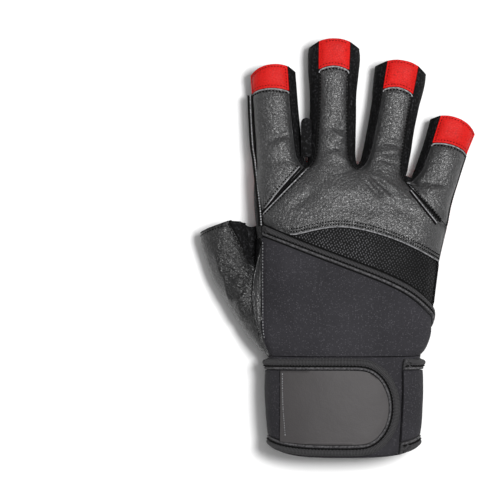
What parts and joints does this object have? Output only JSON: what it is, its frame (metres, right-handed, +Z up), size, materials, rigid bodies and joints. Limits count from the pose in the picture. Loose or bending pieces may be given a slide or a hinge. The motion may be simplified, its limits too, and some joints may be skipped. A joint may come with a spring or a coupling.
{
  "type": "weightlifting glove",
  "caption": "Right-hand weightlifting glove with open finger ends, padded palm, mesh back, neoprene cuff and a wrist strap, lying on its palm.",
  "frame": {"origin": "middle of the glove's outline on the surface that it lies on, under its lowest point", "axes": "+Z up from the surface, +Y towards the fingers' open ends, -X towards the thumb; the palm faces -Z"},
  "size_m": [0.1548, 0.2344, 0.0461],
  "materials": {
    "charcoal_leather": "soft grained leather, satin sheen",
    "red_leather": "bright red smooth leather, satin",
    "red_suede": "bright red synthetic suede, matt",
    "pad_suede": "dark grey brushed suede, matt",
    "stretch_cloth": "black ribbed stretch cloth, matt",
    "mesh_cloth": "black spacer mesh with small honeycomb cells",
    "neoprene": "bluish charcoal cloth-faced neoprene with fine light specks",
    "ribbed_tape": "dark grey cross-ribbed binding tape",
    "vinyl": "mid-dark grey smooth vinyl, low sheen",
    "wrist_foam": "purplish grey soft neoprene"
  },
  "bodies": {
    "root": {"index_back": "charcoal_leather", "little_back": "charcoal_leather", "hand_back": "charcoal_leather", "thumb_back": "charcoal_leather", "side_strip": "charcoal_leather", "index_hem": "charcoal_leather", "middle_hem": "charcoal_leather", "ring_hem": "charcoal_leather", "little_hem": "charcoal_leather", "thumb_crotch_patch": "charcoal_leather", "pull_tab": "charcoal_leather", "index_tab": "red_leather", "middle_tab": "red_leather", "ring_tab": "red_leather", "little_tab": "red_leather", "palm_piping": "red_leather", "gusset_index_middle": "stretch_cloth", "gusset_middle_ring": "stretch_cloth", "gusset_ring_little": "stretch_cloth", "thumb_gusset": "stretch_cloth", "index_front": "stretch_cloth", "middle_front": "stretch_cloth", "ring_front": "stretch_cloth", "little_front": "stretch_cloth", "index_upper_pad": "pad_suede", "index_lower_pad": "pad_suede", "middle_upper_pad": "pad_suede", "middle_lower_pad": "pad_suede", "ring_upper_pad": "pad_suede", "ring_lower_pad": "pad_suede", "little_upper_pad": "pad_suede", "little_lower_pad": "pad_suede", "upper_palm_pad": "pad_suede", "crescent_pad": "pad_suede", "heel_pad": "pad_suede", "thumb_front": "pad_suede", "palm_base": "red_suede", "mesh_panel": "mesh_cloth", "neoprene_panel": "neoprene", "cuff": "neoprene", "edge_binding": "ribbed_tape", "strap_binding": "ribbed_tape", "wrist_patch_binding": "ribbed_tape", "wrist_strap": "neoprene", "strap_patch": "vinyl", "wrist_patch": "wrist_foam"}
  },
  "joints": []
}
